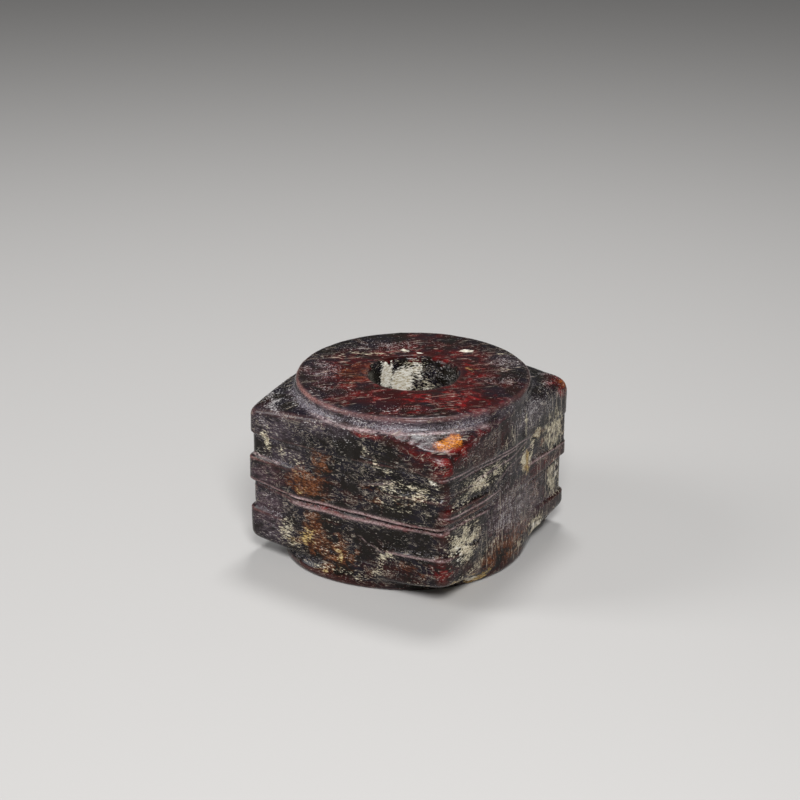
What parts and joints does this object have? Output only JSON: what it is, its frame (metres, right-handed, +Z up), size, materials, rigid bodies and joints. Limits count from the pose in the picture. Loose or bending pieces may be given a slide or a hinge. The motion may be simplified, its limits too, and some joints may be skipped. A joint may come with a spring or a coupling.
{
  "type": "jade cong tube",
  "caption": "Squat cong: a round stone tube inside a square outer block, with raised bars round the corners and a bore right through.",
  "frame": {"origin": "middle of the face it stands on, on the axis of the bore", "axes": "+Z up along the bore, +X and +Y out of the middles of two block faces; -Y is the face on the left in the picture"},
  "size_m": [0.1274, 0.1302, 0.0969],
  "materials": {
    "jade": "polished dark nephrite, worn and calcified in patches"
  },
  "bodies": {
    "root": {"cong": "jade"}
  },
  "joints": []
}
